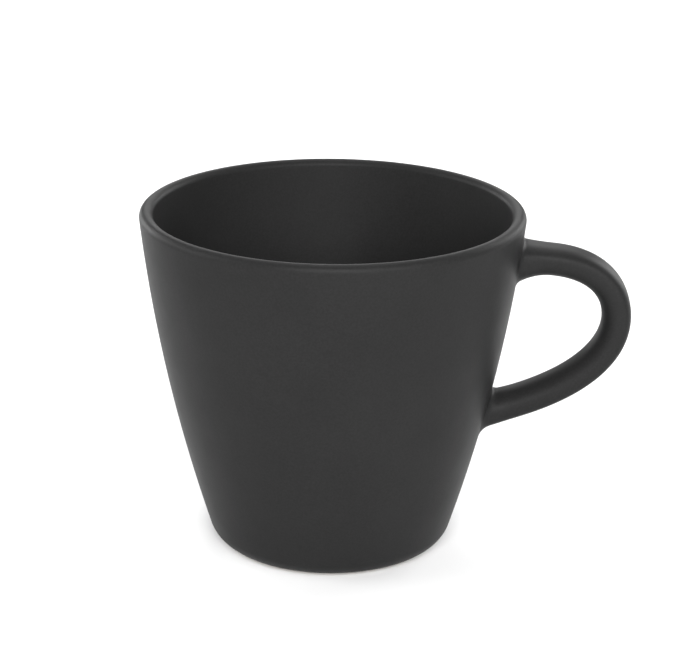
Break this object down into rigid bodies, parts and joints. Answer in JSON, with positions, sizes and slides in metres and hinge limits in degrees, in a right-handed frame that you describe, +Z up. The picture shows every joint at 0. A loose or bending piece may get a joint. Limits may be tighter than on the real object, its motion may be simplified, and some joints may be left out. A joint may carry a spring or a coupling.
{
  "type": "coffee mug",
  "caption": "Tapered stoneware coffee mug in matt dark glaze, with a rounded lip, a bare foot ring and a looped strap handle luted to the wall.",
  "frame": {"origin": "middle of the overall length and width, at the height of the surface that the foot ring rests on", "axes": "+Z up along the cup's axis, +X from the cup towards the handle, +Y across the handle; the cup's axis stands at x = -11.6 mm"},
  "size_m": [0.1056, 0.0824, 0.075],
  "materials": {
    "fired_clay": "bare fired stoneware, dry and finely grained, seen only on the foot ring",
    "joint_slip": "fired slip of the same clay, smoothed into the joint and glazed over",
    "matt_glaze": "matt charcoal glaze with a soft satin sheen"
  },
  "bodies": {
    "root": {"cup_body": "fired_clay", "handle": "fired_clay", "upper_joint_slip": "joint_slip", "lower_joint_slip": "joint_slip", "outer_glaze": "matt_glaze", "inner_glaze": "matt_glaze", "base_glaze": "matt_glaze", "handle_glaze": "matt_glaze"}
  },
  "joints": []
}
